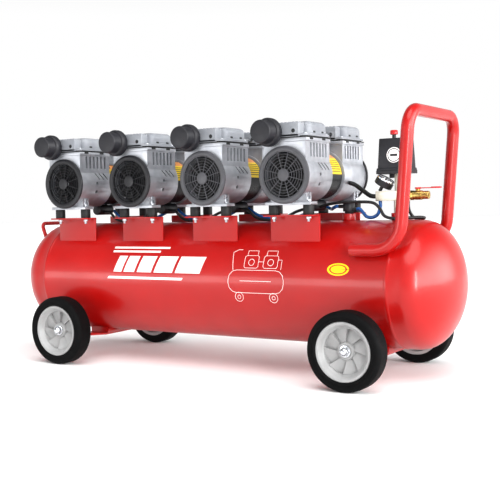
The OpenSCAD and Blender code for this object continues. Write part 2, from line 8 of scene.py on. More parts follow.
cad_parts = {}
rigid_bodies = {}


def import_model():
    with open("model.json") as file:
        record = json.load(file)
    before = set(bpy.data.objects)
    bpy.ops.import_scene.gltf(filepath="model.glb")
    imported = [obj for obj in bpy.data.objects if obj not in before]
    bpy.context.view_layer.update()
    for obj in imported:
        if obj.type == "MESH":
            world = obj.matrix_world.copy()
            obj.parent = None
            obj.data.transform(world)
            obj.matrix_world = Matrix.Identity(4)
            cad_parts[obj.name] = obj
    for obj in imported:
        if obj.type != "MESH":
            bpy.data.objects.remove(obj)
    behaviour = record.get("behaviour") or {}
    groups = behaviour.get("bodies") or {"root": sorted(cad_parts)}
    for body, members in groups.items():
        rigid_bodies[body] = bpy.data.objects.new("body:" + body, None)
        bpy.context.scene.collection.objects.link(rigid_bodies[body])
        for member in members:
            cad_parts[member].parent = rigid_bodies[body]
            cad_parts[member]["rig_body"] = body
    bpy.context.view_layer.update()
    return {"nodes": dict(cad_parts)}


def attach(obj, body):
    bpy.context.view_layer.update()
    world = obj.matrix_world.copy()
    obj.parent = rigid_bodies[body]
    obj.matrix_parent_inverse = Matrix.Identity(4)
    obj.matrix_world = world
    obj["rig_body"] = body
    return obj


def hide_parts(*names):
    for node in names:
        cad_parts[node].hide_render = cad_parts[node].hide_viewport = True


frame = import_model()
nodes = frame["nodes"]
MM = 0.001
PUMPS = (1, 2, 3, 4)
SIDES = ("front", "rear")


# ---------------------------------------------------------------- camera
def make_camera():
    """Stands about 2.7 m off the near right end, a little above the pumps' feet."""
    data = bpy.data.cameras.new("camera")
    data.sensor_width = 36
    data.lens = 65.75
    camera = bpy.data.objects.new("camera", data)
    bpy.context.scene.collection.objects.link(camera)
    turn = Matrix.Rotation(math.radians(32.35), 4, "Z")
    tip = Matrix.Rotation(math.radians(90 - 2.88), 4, "X")
    roll = Matrix.Rotation(math.radians(-1.3), 4, "Z")
    camera.matrix_world = Matrix.Translation((1.4898, -2.2272, 0.4638)) @ turn @ tip @ roll
    bpy.context.scene.camera = camera


# ---------------------------------------------------------------- materials
def linear(colour):
    """An sRGB hex string as linear RGBA."""
    parts = [int(colour[i:i + 2], 16) / 255 for i in (1, 3, 5)]
    return [p / 12.92 if p <= 0.04045 else ((p + 0.055) / 1.055) ** 2.4 for p in parts] + [1]


def add(tree, kind, values=(), links=(), **settings):
    """One node with its settings, socket values and incoming links."""
    made = tree.nodes.new(kind)
    for name, value in settings.items():
        setattr(made, name, value)
    for socket, value in dict(values).items():
        made.inputs[socket].default_value = value
    for socket, source in dict(links).items():
        tree.links.new(source, made.inputs[socket])
    return made


def start_material(name, metallic=0.0, **sockets):
    """A Principled shader and the Object coordinates that its patterns read."""
    material = bpy.data.materials.new(name)
    material.use_nodes = True
    tree = material.node_tree
    shader = tree.nodes["Principled BSDF"]
    shader.inputs["Metallic"].default_value = metallic
    for socket, value in sockets.items():
        shader.inputs[socket.replace("_", " ")].default_value = value
    place = tree.nodes.new("ShaderNodeTexCoord").outputs["Object"]
    return material, tree, shader, place


def mottled(tree, place, size_mm, low, high, detail=3.0):
    """A soft noise of patches of that size, spread between low and high."""
    noise = add(tree, "ShaderNodeTexNoise", {"Scale": 1 / (size_mm * MM), "Detail": detail},
                {"Vector": place})
    return add(tree, "ShaderNodeMapRange", {"From Min": 0.3, "From Max": 0.7, "To Min": low,
                                            "To Max": high},
               {"Value": noise.outputs["Fac"]}).outputs["Result"]


def finish_surface(name, light, dark, rough, patch_mm, grain_mm, bump_mm, metallic=0.0, **sockets):
    """A material of two close colours in soft patches, an uneven gloss and a fine relief."""
    material, tree, shader, place = start_material(name, metallic, **sockets)
    patches = mottled(tree, place, patch_mm, 0, 1)
    colour = add(tree, "ShaderNodeMix", {6: linear(light), 7: linear(dark)}, {0: patches}, data_type="RGBA")
    tree.links.new(colour.outputs[2], shader.inputs["Base Color"])
    tree.links.new(mottled(tree, place, patch_mm * 0.6, rough[0], rough[1]), shader.inputs["Roughness"])
    relief = add(tree, "ShaderNodeTexNoise", {"Scale": 1 / (grain_mm * MM), "Detail": 2}, {"Vector": place})
    bump = add(tree, "ShaderNodeBump", {"Strength": 0.6, "Distance": bump_mm * MM},
               {"Height": relief.outputs["Fac"]})
    tree.links.new(bump.outputs["Normal"], shader.inputs["Normal"])
    return material


# Red enamel sprayed on sheet steel: deep colour under a clear gloss, with a faint orange peel.
RED_ENAMEL = finish_surface("gloss red enamel", "#AF0B08", "#A40705", (0.28, 0.4), 160, 7, 0.03,
                            Specular_IOR_Level=0.4, Coat_Weight=0.4, Coat_Roughness=0.12)
# Die-cast aluminium, shot-blasted: pale grey, finely grained, soft highlights.
CAST_ALUMINIUM = finish_surface("die-cast aluminium", "#BFC1C6", "#A9ACB2", (0.38, 0.5), 30, 1.2, 0.12,
                                0.75)
# Head castings, a lighter and smoother die-cast aluminium.
HEAD_ALUMINIUM = finish_surface("smooth die-cast aluminium", "#989BA0", "#8B8E94", (0.4, 0.5), 40, 1.0,
                                0.06, 0.12,
                                Specular_IOR_Level=0.3)
# Drawn aluminium tube, satin.
TUBE_ALUMINIUM = finish_surface("drawn aluminium", "#C8CACC", "#B4B7BA", (0.25, 0.35), 20, 1.0, 0.02, 0.95)
# Black lacquer over the stator's steel laminations.
STATOR_LACQUER = finish_surface("black stator lacquer", "#1B1C1F", "#101113", (0.3, 0.42), 25, 1.5, 0.05)
# Filled nylon, moulded, dark grey with a fine spark-eroded grain.
DARK_NYLON = finish_surface("dark moulded nylon", "#202026", "#19191E", (0.42, 0.55), 30, 0.9, 0.05)
# The same plastic as moulded for the fan covers, nearly black.
BLACK_NYLON = finish_surface("black moulded nylon", "#1B1B20", "#151519", (0.36, 0.46), 25, 0.9, 0.05)
# Glass-filled nylon of the fans, dead black.
FAN_NYLON = finish_surface("glass-filled black nylon", "#0E0E10", "#09090A", (0.5, 0.6), 25, 0.9, 0.05)
# Grey ABS, moulded, satin.
GREY_ABS = finish_surface("grey moulded ABS", "#4F4F54", "#464649", (0.34, 0.44), 30, 0.9, 0.04)
# Pale polypropylene of the wheel rims: slightly waxy, faint flow marks.
RIM_PLASTIC = finish_surface("pale grey polypropylene", "#A4A4A4", "#979797", (0.34, 0.46), 35, 1.4, 0.05)
# Solid rubber tyre: near black, dull, with a dusty bloom in soft patches.
TYRE_RUBBER = finish_surface("solid black rubber", "#070708", "#0C0C0D", (0.6, 0.75), 45, 1.2, 0.12,
                             Specular_IOR_Level=0.12)
# Moulded rubber of the feet and gaskets.
BLACK_RUBBER = finish_surface("moulded black rubber", "#1C1D1E", "#141415", (0.5, 0.65), 15, 1.0, 0.08)
# Zinc-plated steel of bolts and axles.
ZINC_STEEL = finish_surface("zinc-plated steel", "#C9CBD0", "#B2B5BB", (0.25, 0.38), 12, 1.0, 0.04, 0.95)
# Chromium plate on the axle nuts and the gauge's bezel.
CHROME = finish_surface("chromium plate", "#E4E6EA", "#D6D9DE", (0.06, 0.12), 30, 4, 0.01, 1.0)
# Turned brass, a little dulled.
BRASS = finish_surface("turned brass", "#C9AE6A", "#B39755", (0.24, 0.36), 12, 1.0, 0.03, 0.95)
# Nickel plate over brass, pale and warm.
NICKEL = finish_surface("nickel-plated brass", "#DEDACB", "#CFCBBB", (0.28, 0.4), 15, 1.0, 0.04, 0.7)
# Red moulded ABS of the knob, and the dipped sleeve of the valve lever.
KNOB_RED = finish_surface("red moulded ABS", "#CE1D22", "#BE181D", (0.22, 0.32), 12, 1.0, 0.03)
# Extruded polyurethane air line, translucent blue.
BLUE_LINE = finish_surface("blue polyurethane", "#1E5FA8", "#184F8E", (0.2, 0.3), 20, 1.5, 0.02)
# Rubber sheath of the leads.
BLACK_SHEATH = finish_surface("black rubber sheath", "#161719", "#101112", (0.4, 0.52), 15, 1.0, 0.05)
# Turned steel of the motor shafts and fans.
TURNED_STEEL = finish_surface("turned steel", "#B4B6B9", "#9B9DA1", (0.3, 0.42), 10, 0.8, 0.03, 0.95)

# Cut vinyl films of the markings: flat, slightly glossy, even in colour.
WHITE_FILM = finish_surface("white vinyl film", "#F4F2F0", "#ECEAE8", (0.3, 0.4), 40, 2, 0.01)
YELLOW_FILM = finish_surface("yellow vinyl film", "#F2D21C", "#E8C616", (0.3, 0.4), 40, 2, 0.01)
ORANGE_FILM = finish_surface("orange vinyl film", "#E39A55", "#DB8E48", (0.3, 0.4), 40, 2, 0.01)
RED_FILM = finish_surface("red vinyl film", "#C4281B", "#BA2418", (0.3, 0.4), 40, 2, 0.01)
BLACK_FILM = finish_surface("black vinyl film", "#26262A", "#202024", (0.35, 0.45), 40, 2, 0.01)

# ---------------------------------------------------------------- making pieces
def deselect():
    """Leaves edit mode and selects nothing."""
    if bpy.context.mode != "OBJECT":
        bpy.ops.object.mode_set(mode="OBJECT")
    bpy.ops.object.select_all(action="DESELECT")


def activate(piece):
    deselect()
    piece.select_set(True)
    bpy.context.view_layer.objects.active = piece


def apply_modifiers(piece):
    activate(piece)
    for modifier in list(piece.modifiers):
        bpy.ops.object.modifier_apply(modifier=modifier.name)


def soften(piece, width_mm, segments=2, angle=32):
    """Rounds the sharp edges and smooths the rest."""
    activate(piece)
    bevel = piece.modifiers.new("soft edges", "BEVEL")
    bevel.width = width_mm * MM
    bevel.segments = segments
    bevel.limit_method = "ANGLE"
    bevel.angle_limit = math.radians(angle)
    bevel.use_clamp_overlap = False
    bevel.miter_outer = "MITER_SHARP"
    apply_modifiers(piece)
    bpy.ops.object.shade_smooth_by_angle(angle=math.radians(angle))


def worked_copy(node, width_mm=0.8, name=None, segments=2, rework=None):
    """A merged copy of a CAD node with its edges rounded as in the real casting or pressing."""
    piece = nodes[node].copy()
    piece.data = nodes[node].data.copy()
    piece.name = name or node + "_finished"
    piece.parent = None
    for key in list(piece.keys()):
        del piece[key]
    bpy.context.scene.collection.objects.link(piece)
    activate(piece)
    bpy.ops.object.mode_set(mode="EDIT")
    bpy.ops.mesh.select_all(action="SELECT")
    bpy.ops.mesh.remove_doubles(threshold=0.00001)
    bpy.ops.mesh.customdata_custom_splitnormals_clear()
    bpy.ops.mesh.dissolve_limited(angle_limit=math.radians(0.5))
    bpy.ops.object.mode_set(mode="OBJECT")
    if rework:
        rework(piece)
    soften(piece, width_mm, segments)
    return piece


def settle(piece, material, body, slot, *replaced):
    """Paints a piece, lets it ride on its body and hides the CAD nodes that it stands for."""
    if material:
        piece.data.materials.clear()
        piece.data.materials.append(material)
    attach(piece, body)
    if replaced:
        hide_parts(*replaced)
    return piece


def paint_node(name, material):
    """Gives a CAD node that stays its material."""
    nodes[name].data.materials.clear()
    nodes[name].data.materials.append(material)


def add_primitive(kind, name, **settings):
    deselect()
    getattr(bpy.ops.mesh, f"primitive_{kind}_add")(**settings)
    piece = bpy.context.active_object
    piece.name = name
    return piece


def edit_all(piece):
    """Opens a piece in edit mode with everything selected."""
    activate(piece)
    bpy.ops.object.mode_set(mode="EDIT")
    bpy.ops.mesh.select_all(action="SELECT")


def close_mesh(piece, smooth=32):
    """Merges what meets, points the faces outwards and smooths all but the sharp edges."""
    edit_all(piece)
    bpy.ops.mesh.remove_doubles(threshold=0.000005)
    bpy.ops.mesh.normals_make_consistent(inside=False)
    bpy.ops.object.mode_set(mode="OBJECT")
    bpy.ops.object.shade_smooth_by_angle(angle=math.radians(smooth))
    return piece


def turned(name, profile, axis="Y", place=(0, 0, 0), steps=64, closed=True, smooth=32):
    """A lathe shape: (along, radius) points in mm, spun about an axis through place.
    A profile that isn't closed starts and ends on the axis."""
    piece = add_primitive("circle", name, vertices=len(profile), radius=0.01)
    along = "XYZ".index(axis)
    out = 2 if axis != "Z" else 0
    for vertex, (a, r) in zip(piece.data.vertices, profile):
        vertex.co = (0, 0, 0)
        vertex.co[along], vertex.co[out] = a * MM, r * MM
    activate(piece)
    bpy.ops.object.mode_set(mode="EDIT")
    if not closed:
        bpy.ops.mesh.select_all(action="DESELECT")
        bpy.ops.object.mode_set(mode="OBJECT")
        last = len(profile) - 1
        for edge in piece.data.edges:
            edge.select = set(edge.vertices) == {0, last}
        bpy.ops.object.mode_set(mode="EDIT")
        bpy.ops.mesh.select_mode(type="EDGE")
        bpy.ops.mesh.delete(type="EDGE")
    bpy.ops.mesh.select_mode(type="VERT")
    bpy.ops.mesh.select_all(action="SELECT")
    about = [0, 0, 0]
    about[along] = 1
    bpy.ops.mesh.spin(steps=steps, angle=math.tau, center=(0, 0, 0), axis=about, use_auto_merge=True)
    bpy.ops.object.mode_set(mode="OBJECT")
    piece.data.transform(Matrix.Translation(Vector(place) * MM))
    return close_mesh(piece, smooth)


def formed(name, cells, form, smooth=32):
    """A slab of cells[0] by cells[1] cells whose corners form(u, v, w) puts in place, in mm.
    u and v run from 0 to 1 over the slab; w is 0 on one face and 1 on the other."""
    piece = add_primitive("grid", name, x_subdivisions=cells[0], y_subdivisions=cells[1], size=1)
    edit_all(piece)
    bpy.ops.mesh.extrude_region_move(TRANSFORM_OT_translate={"value": (0, 0, 1)})
    bpy.ops.object.mode_set(mode="OBJECT")
    for vertex in piece.data.vertices:
        u, v, w = vertex.co
        vertex.co = Vector(form(u + 0.5, v + 0.5, w)) * MM
    return close_mesh(piece, smooth)


def boxed(name, low, high, bevel=0):
    """A block between two corners in mm, with its edges rounded."""
    piece = add_primitive("cube", name, size=1)
    low, high = Vector(low) * MM, Vector(high) * MM
    size = high - low
    piece.data.transform(Matrix.Translation((low + high) / 2) @ Matrix.Diagonal((*size, 1)))
    if bevel:
        edit_all(piece)
        bpy.ops.mesh.bevel(offset=bevel * MM, segments=2, affect="EDGES")
        bpy.ops.object.mode_set(mode="OBJECT")
    return close_mesh(piece)


def swept(name, path, radius, sides=5, wall=0.0):
    """A round bar along path, in mm, or an open tube of that wall."""
    data = bpy.data.curves.new(name, "CURVE")
    data.dimensions = "3D"
    data.bevel_depth = radius * MM
    data.bevel_resolution = sides
    data.use_fill_caps = not wall
    spline = data.splines.new("POLY")
    spline.points.add(len(path) - 1)
    for point, place in zip(spline.points, path):
        point.co = (*(Vector(place) * MM), 1)
    piece = bpy.data.objects.new(name, data)
    bpy.context.scene.collection.objects.link(piece)
    activate(piece)
    bpy.ops.object.convert(target="MESH")
    piece = bpy.context.active_object
    if wall:
        close_mesh(piece)
        shell = piece.modifiers.new("wall", "SOLIDIFY")
        shell.thickness, shell.offset = wall * MM, -1
        apply_modifiers(piece)
    return close_mesh(piece, 40)


def rounded_path(corners, radii, step=6):
    """The points of a path whose inner corners are arcs of those radii."""
    corners = [Vector(c) for c in corners]
    path = [corners[0]]
    for before, corner, after, radius in zip(corners, corners[1:], corners[2:], radii):
        came, leaves = (corner - before).normalized(), (after - corner).normalized()
        turn = came.angle(leaves)
        run = radius * math.tan(turn / 2)
        middle = corner + (leaves - came).normalized() * (radius / math.cos(turn / 2))
        first = corner - came * run - middle
        count = max(3, round(math.degrees(turn) / step))
        axis = came.cross(leaves)
        path += [middle + Matrix.Rotation(turn * k / count, 3, axis) @ first for k in range(count + 1)]
    return path + [corners[-1]]


def smooth_route(points, steps=10):
    """The smooth curve through a hose's route points, as the CAD model sweeps it."""
    points = [Vector(p) for p in points]
    path = []
    for i in range(len(points) - 1):
        a, b, c = points[max(i - 1, 0)], points[i], points[i + 1]
        d = points[min(i + 2, len(points) - 1)]
        path += [0.5 * (2 * b + (c - a) * t + (2 * a - 5 * b + 4 * c - d) * t * t
                        + (3 * b - a - 3 * c + d) * t ** 3) for t in (k / steps for k in range(steps))]
    return path + [points[-1]]


def joined(name, pieces):
    """Several meshes made one."""
    deselect()
    for piece in pieces:
        piece.select_set(True)
    bpy.context.view_layer.objects.active = pieces[0]
    bpy.ops.object.join()
    pieces[0].name = name
    return pieces[0]


def copied(piece, name, place):
    """A copy with its own mesh, moved or turned by a matrix."""
    other = piece.copy()
    other.data = piece.data.copy()
    other.name = name
    other.data.transform(place)
    bpy.context.scene.collection.objects.link(other)
    return other


def spread(piece, places):
    """One piece made of a copy at each place."""
    name = piece.name
    parts = [copied(piece, f"{name}_part_{k}", place) for k, place in enumerate(places)]
    bpy.data.objects.remove(piece)
    return joined(name, parts)


def moved(x=0, y=0, z=0):
    return Matrix.Translation(Vector((x, y, z)) * MM)


def turned_about(angle, axis, x=0, y=0, z=0):
    """A turn by angle degrees about an axis through that point, in mm."""
    return moved(x, y, z) @ Matrix.Rotation(math.radians(angle), 4, axis) @ moved(-x, -y, -z)


# ---------------------------------------------------------------- stage
def make_stage():
    """A white floor and background, an overhead sun and two soft boxes."""
    deselect()
    bpy.ops.mesh.primitive_plane_add(size=40, location=(0, 0, 0))
    floor = bpy.context.active_object
    floor.name = "floor"
    material, tree, shader, place = start_material("white paper sweep")
    shader.inputs["Base Color"].default_value = linear("#FFFFFF")
    shader.inputs["Roughness"].default_value = 0.9
    floor.data.materials.append(material)

    world = bpy.data.worlds.new("light tent")
    bpy.context.scene.world = world
    world.use_nodes = True
    tree = world.node_tree
    direction = add(tree, "ShaderNodeTexCoord")
    height = add(tree, "ShaderNodeSeparateXYZ", links={0: direction.outputs["Generated"]})
    fade = add(tree, "ShaderNodeMapRange", {"From Min": 0.2, "From Max": 0.65, "To Min": 1.0,
                                            "To Max": 0.35},
               {"Value": height.outputs["Z"]})
    side = add(tree, "ShaderNodeMapRange", {"From Min": 0.5, "From Max": 0.92, "To Min": 1.0,
                                            "To Max": 7.5},
               {"Value": height.outputs["X"]}, interpolation_type="SMOOTHSTEP")
    glow = add(tree, "ShaderNodeMath", links={0: fade.outputs["Result"], 1: side.outputs["Result"]},
               operation="MULTIPLY")
    tree.links.new(glow.outputs["Value"], tree.nodes["Background"].inputs["Strength"])
    tree.nodes["Background"].inputs["Color"].default_value = (1, 1, 1, 1)

    sun = bpy.data.lights.new("overhead tent light", "SUN")
    sun.energy, sun.angle = 1.9, math.radians(50)
    holder = bpy.data.objects.new("overhead tent light", sun)
    bpy.context.scene.collection.objects.link(holder)
    holder.rotation_euler = Vector((-0.25, 0.45, -1)).to_track_quat("-Z", "Y").to_euler()

    def soft_box(name, place, target, size, power):
        light = bpy.data.lights.new(name, "AREA")
        light.shape = "RECTANGLE"
        light.size, light.size_y = size
        light.energy = power
        holder = bpy.data.objects.new(name, light)
        bpy.context.scene.collection.objects.link(holder)
        holder.location = place
        holder.rotation_euler = (Vector(target) - Vector(place)).to_track_quat("-Z", "Y").to_euler()

    soft_box("front box", (-1.4, -3.0, 0.42), (0.15, -0.17, 0.4), (1.7, 0.6), 16)
    soft_box("end streak", (2.6, -1.9, 0.75), (0.65, 0, 0.3), (0.22, 1.3), 22)
    bpy.context.scene.view_settings.view_transform = "Standard"
    bpy.context.scene.view_settings.gamma = 0.9


# ---------------------------------------------------------------- sizes shared with the CAD model, mm
TANK_R, TANK_Z, SEAM_X, FLANGE, DOME = 168, 246, 575, 32, 105
PUMP_X = [-474 + 257.6 * k for k in range(4)]
SHAFT_Z, CASE_OUT, HEAD_Z, BARREL_Y = 537, 172, 634, 104
WHEEL_X = {"left": -451, "right": 499}
WHEEL_Z = 100
SHOULDER = 12  # radius of the tyres' edges
SHELL_WALL = 3
RISE_MM = 2.93  # paint along the tank's front per degree of rise
HALF_TURN = Matrix.Rotation(math.pi, 4, "Z")
AT_PUMPS = [moved(x) for x in PUMP_X]
BOTH_ENDS = [moved(x) @ turn for x in PUMP_X for turn in (Matrix.Identity(4), HALF_TURN)]


# ---------------------------------------------------------------- tank
def make_tank():
    """The rolled barrel with its weld beads, and the two dished ends."""
    bead = [(0, 1.5), (1.8, 1.4), (3.6, 1.0), (5, 0.4), (6, 0)]
    right = [(SEAM_X - a, TANK_R + h) for a, h in reversed(bead)]
    left = [(-x, r) for x, r in reversed(right)]
    inner = TANK_R - SHELL_WALL
    shell = turned("tank_barrel", left + right + [(SEAM_X, inner), (-SEAM_X, inner)], "X", (0, 0, TANK_Z),
                   128)
    settle(shell, RED_ENAMEL, "chassis", "red_paint", "tank_shell")
    arcs = [k * 90 / 22 for k in range(23)]

    def dome(r, h):
        return [(SEAM_X + FLANGE + h * math.sin(math.radians(a)),
                 r * math.cos(math.radians(a)) if a < 90 else 0)
                for a in arcs]
    profile = list(reversed(dome(TANK_R, DOME))) + [(SEAM_X + a, TANK_R + h) for a, h in reversed(bead)]
    profile += [(SEAM_X, inner)] + dome(inner, DOME - SHELL_WALL)
    end = turned("tank_dome_right", profile, "X", (0, 0, TANK_Z), 128, closed=False)
    other = copied(end, "tank_dome_left", HALF_TURN)
    settle(end, RED_ENAMEL, "chassis", "red_paint", "tank_end_right")
    settle(other, RED_ENAMEL, "chassis", "red_paint", "tank_end_left")


def on_tank(x, rise, lift):
    """A point on the tank's front, rise degrees above its middle height and lift mm off the paint."""
    r, a = TANK_R + lift, math.radians(rise)
    return x, -r * math.cos(a), TANK_Z + r * math.sin(a)


def tank_mark(name, low, high, slant=0, cells=(6, 4), lift=0.0):
    """A film between two (x, rise) corners, leaning by slant mm."""
    return formed(name, cells, lambda u, v, w: on_tank(
        low[0] + (high[0] - low[0]) * u + slant * v, low[1] + (high[1] - low[1]) * v,
        lift - 0.3 + 0.55 * w))


def tank_line(name, path, width=1.5):
    """A thin raised line through (x, rise) points."""
    points = []
    for (x0, a0), (x1, a1) in zip(path, path[1:]):
        count = max(1, round(math.hypot(x1 - x0, (a1 - a0) * 2.9) / 6))
        points += [(x0 + (x1 - x0) * k / count, a0 + (a1 - a0) * k / count) for k in range(count)]
    points.append(path[-1])
    return swept(name, [on_tank(x, a, -width * 0.2) for x, a in points], width / 2, 1)


def make_marks():
    """Plain stripes, a pictogram in outline and a blank oval, all cut film."""
    marks = [tank_mark("m", (-311, 34.2), (-104, 36.4), 0, (24, 2)),
             tank_mark("m", (-311, 29.8), (-134, 32.0), 0, (24, 2))]
    starts = [(-296, 30), (-258, 40), (-208, 52), (-146, 66), (-70, 86)]
    marks += [tank_mark("m", (x, 9.5), (x + run, 26), 16, (10, 8)) for x, run in starts]
    marks += [tank_mark("m", (-318, 2.6), (-46, 5.0), 5, (24, 2))]
    settle(joined("front_stripes", marks), WHITE_FILM, "chassis", "rim_plastic")

    def capsule(x0, x1, low, high, r):
        rise = r / RISE_MM
        path = []
        for cx, cy, start in ((x1 - r, high - rise, 90), (x1 - r, low + rise, 0), (x0 + r, low + rise, -90),
                              (x0 + r, high - rise, -180)):
            path += [(cx + r * math.cos(math.radians(start - t)),
                      cy + rise * math.sin(math.radians(start - t)))
                     for t in (0, 30, 60, 90)]
        return path + [path[0]]

    def circle(x, rise, r):
        return [(x + r * math.cos(k * math.pi / 8),
                 rise + r / RISE_MM * math.sin(k * math.pi / 8)) for k in range(17)]
    outlines = [capsule(112, 286, -7, 14, 26), circle(146, -11, 13), circle(254, -11, 13),
                circle(254, -11, 5),
                circle(146, -11, 5), [(126, 14), (118, 31), (132, 34), (146, 34)],
                capsule(160, 204, 16, 28, 6), capsule(220, 264, 16, 28, 6),
                [(166, 28), (166, 33), (198, 33), (198, 28)],
                [(226, 28), (226, 33), (258, 33), (258, 28)], circle(182, 21.5, 9), circle(242, 21.5, 9),
                [(204, 22), (220, 22)], [(264, 24), (276, 24), (276, 15)], [(150, 4), (248, 4)]]
    drawing = joined("front_pictogram", [tank_line("l", path) for path in outlines])
    settle(drawing, WHITE_FILM, "chassis", "rim_plastic")

    def oval(name, rx, rise, lift):
        middle_x, middle_rise, pinhole = 443.4, 16.4, 0.02

        def form(u, v, w):
            out = pinhole + (1 - pinhole) * u
            return on_tank(middle_x + rx * out * math.cos(v * math.tau),
                           middle_rise + rise * out * math.sin(v * math.tau), lift - 0.3 + 0.5 * w)
        return formed(name, (1, 40), form)
    for name, size, lift, material in (
            ("oval_film_rim", (31, 5.6), 0, YELLOW_FILM),
            ("oval_film_band", (25, 4.3), 0.15, RED_FILM),
            ("oval_film_middle", (21, 3.5), 0.3, YELLOW_FILM)):
        settle(oval(name, *size, lift), material, "chassis", "rim_plastic")


# ---------------------------------------------------------------- handles
def make_handles():
    """The bent push handle with its weld pads, and the small carry handle."""
    lean = math.tan(math.radians(4.8))
    foot_x = 541 + 75 * math.tan(math.radians((90 - 4.8) / 2))
    top_x = foot_x + (685 - 343) * lean
    half = [(479, 158, 343), (foot_x, 158, 343), (top_x, 158, 685)]
    corners = half + [(x, -y, z) for x, y, z in reversed(half)]
    tube = swept("push_handle_tube", rounded_path(corners, [75, 48, 48, 75], 4), 16, 9, wall=2)
    pads = []
    for x in (495, 530):
        for sign in (1, -1):
            pad = boxed("weld_pad", (x - 6, 166 if sign > 0 else -171, 241),
                        (x + 6, 171 if sign > 0 else -166, 251), 1)
            pad.data.transform(turned_about(sign * math.degrees(math.atan2(97, 158)), "X", 0, 0, TANK_Z))
            pads.append(pad)
    settle(joined("push_handle", [tube] + pads), RED_ENAMEL, "chassis", "red_paint", "main_handle")
    grab = [(-657.3, 62, 340.3), (-686, 62, 415), (-686, -62, 415), (-657.3, -62, 340.3)]
    bar = swept("carry_handle", rounded_path(grab, [16, 16], 9), 6, 5)
    settle(bar, RED_ENAMEL, "chassis", "red_paint", "grab_handle")


# ---------------------------------------------------------------- wheels
def make_wheels():
    """Spoked rims and rounded tyres, one pair for each of the four wheels."""
    rim = turned("rim", [(203, 10.05), (203, 23), (204, 24), (222, 24), (226, 65), (204, 66), (204, 75),
                         (254, 75),
                         (256, 74), (257, 72.5), (257, 69), (255.5, 66.5), (247, 61.5), (245, 60),
                         (244, 58.5), (243, 57.5),
                         (229, 56.5), (229, 24), (234, 23), (238, 22), (240, 20.5), (240, 17),
                         (238.5, 16.2),
                         (238.5, 15.5), (240, 15), (240, 10.05)], "Y", (0, 0, WHEEL_Z), 96)
    # modelled for the rear side at x = 0
    vanes = []
    for k in range(8):
        def vane(u, v, w, start=k * 45.0):
            r = 22.5 + 34.5 * v
            high = 235.3 + (r - 24) * 0.2
            depth = 228.5 + (high - 228.5) * (0.12 + 0.88 * u)
            a = math.radians(start + 43.5 * u + 9 * v)
            return r * math.cos(a), 227.5 if w < 0.5 else depth, WHEEL_Z + r * math.sin(a)
        vanes.append(formed("vane", (8, 6), vane, 25))
    rim = joined("rim", [rim] + vanes)
    profile = [(204, 75), (204, 84)]
    for middle, way, turns in ((216, -1, (15, 38, 60, 80, 90)), (248, 1, (90, 80, 60, 38, 15, 0))):
        profile += [(middle + way * SHOULDER * math.cos(math.radians(t)),
                     WHEEL_Z - SHOULDER + SHOULDER * math.sin(math.radians(t))) for t in turns]
    profile += [(260, 84.5), (259.2, 83.8), (259.2, 82.8), (260, 82), (259.8, 79), (258.6, 77), (256.5, 75)]
    tyre = turned("tyre", profile, "Y", (0, 0, WHEEL_Z), 128)
    for end, x in WHEEL_X.items():
        for side in SIDES:
            place = moved(x) @ (HALF_TURN if side == "front" else Matrix.Identity(4))
            name = f"{side}_{end}"
            body = f"wheel_{name}"
            settle(copied(rim, f"wheel_rim_{name}", place), RIM_PLASTIC, body, "rim_plastic", f"rim_{name}")
            settle(copied(tyre, f"wheel_tyre_{name}", place), TYRE_RUBBER, body, "tyre_rubber",
                   f"tyre_{name}")
    bpy.data.objects.remove(rim)
    bpy.data.objects.remove(tyre)


# ---------------------------------------------------------------- pumps
def make_castings():
    """The pump housings, with deep fin slots whose floors carry black boxes as painted shade."""
    def sink_slots(piece):
        """Pushes the floors of the fin slots further in."""
        for vertex in piece.data.vertices:
            out = (vertex.co.x - PUMP_X[0] * MM) / MM
            if 57.5 < abs(out) < 59.5 and 582.5 < vertex.co.z / MM < 619.5:
                vertex.co.x -= math.copysign(12, out) * MM
    first = worked_copy("castings_1", 0.9, "pump_castings_1", rework=sink_slots)
    for i, x in enumerate(PUMP_X[1:], 2):
        other = copied(first, f"pump_castings_{i}", moved(x - PUMP_X[0]))
        settle(other, CAST_ALUMINIUM, "chassis", "cast_aluminium", f"castings_{i}")
    settle(first, CAST_ALUMINIUM, "chassis", "cast_aluminium", "castings_1")
    # Painted shade: black boxes on the slot floors stand for the shade deep inside the fin slots.
    floors = [boxed("floor", (x, 54.3 + 16.5 * k, 583.3), (x + 8, 61.7 + 16.5 * k, 618.7))
              for x in (-55, 47) for k in range(6)]
    settle(spread(joined("fin_slot_painted_shade", floors), BOTH_ENDS), BLACK_RUBBER, "chassis", "cast_aluminium")


